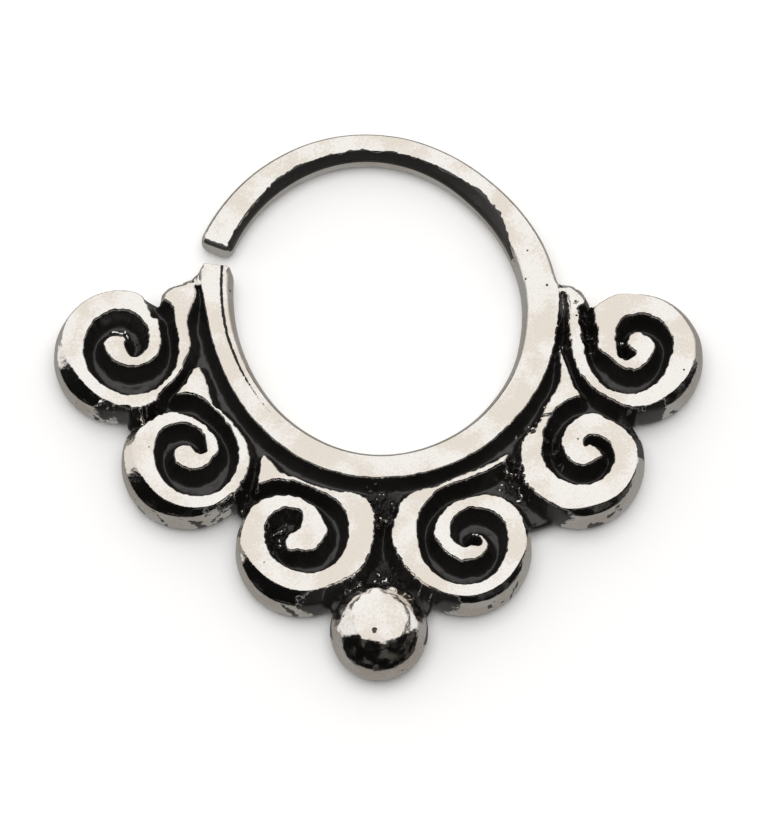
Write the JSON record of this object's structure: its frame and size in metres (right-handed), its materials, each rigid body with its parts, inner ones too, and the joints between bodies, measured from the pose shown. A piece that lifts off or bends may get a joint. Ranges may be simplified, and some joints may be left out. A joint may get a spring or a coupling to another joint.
{
  "type": "septum ring",
  "caption": "Cast septum ring: an open wire hoop whose lower half carries a frieze of raised spiral scrolls with a ball below.",
  "frame": {"origin": "middle of the hoop's opening, on the plane of the flat back", "axes": "+X to the right along the frieze seen from the front, +Y from the ball towards the top of the hoop, +Z out of the decorated face"},
  "size_m": [0.0226, 0.0199, 0.0026],
  "materials": {
    "antiqued_silver": "silver plate, polished on the raised faces and blackened in the grooves"
  },
  "bodies": {
    "root": {"septum_ring": "antiqued_silver"}
  },
  "joints": []
}
